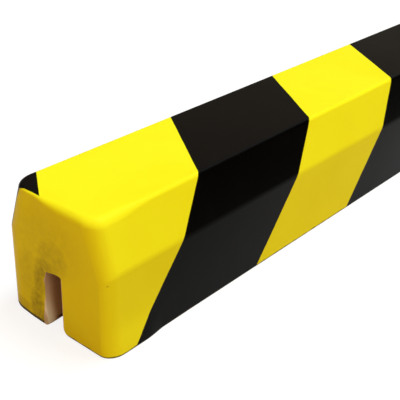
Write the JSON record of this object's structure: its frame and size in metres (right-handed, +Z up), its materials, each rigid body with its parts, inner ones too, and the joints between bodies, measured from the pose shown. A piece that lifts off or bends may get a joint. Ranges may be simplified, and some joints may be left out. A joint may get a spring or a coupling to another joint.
{
  "type": "impact protection strip",
  "caption": "Bevelled foam bar with rounded ends and a slot in its base that pushes over the edge of a plate as a bumper.",
  "frame": {"origin": "middle of the underside, between the two feet", "axes": "+Y along the strip, +X across it, +Z up from the feet to the flat top"},
  "size_m": [0.04, 1, 0.037],
  "materials": {
    "coated_foam": "satin coat on foam, in diagonal black stripes on yellow, with bare cream foam inside the slot"
  },
  "bodies": {
    "root": {"strip": "coated_foam"}
  },
  "joints": []
}
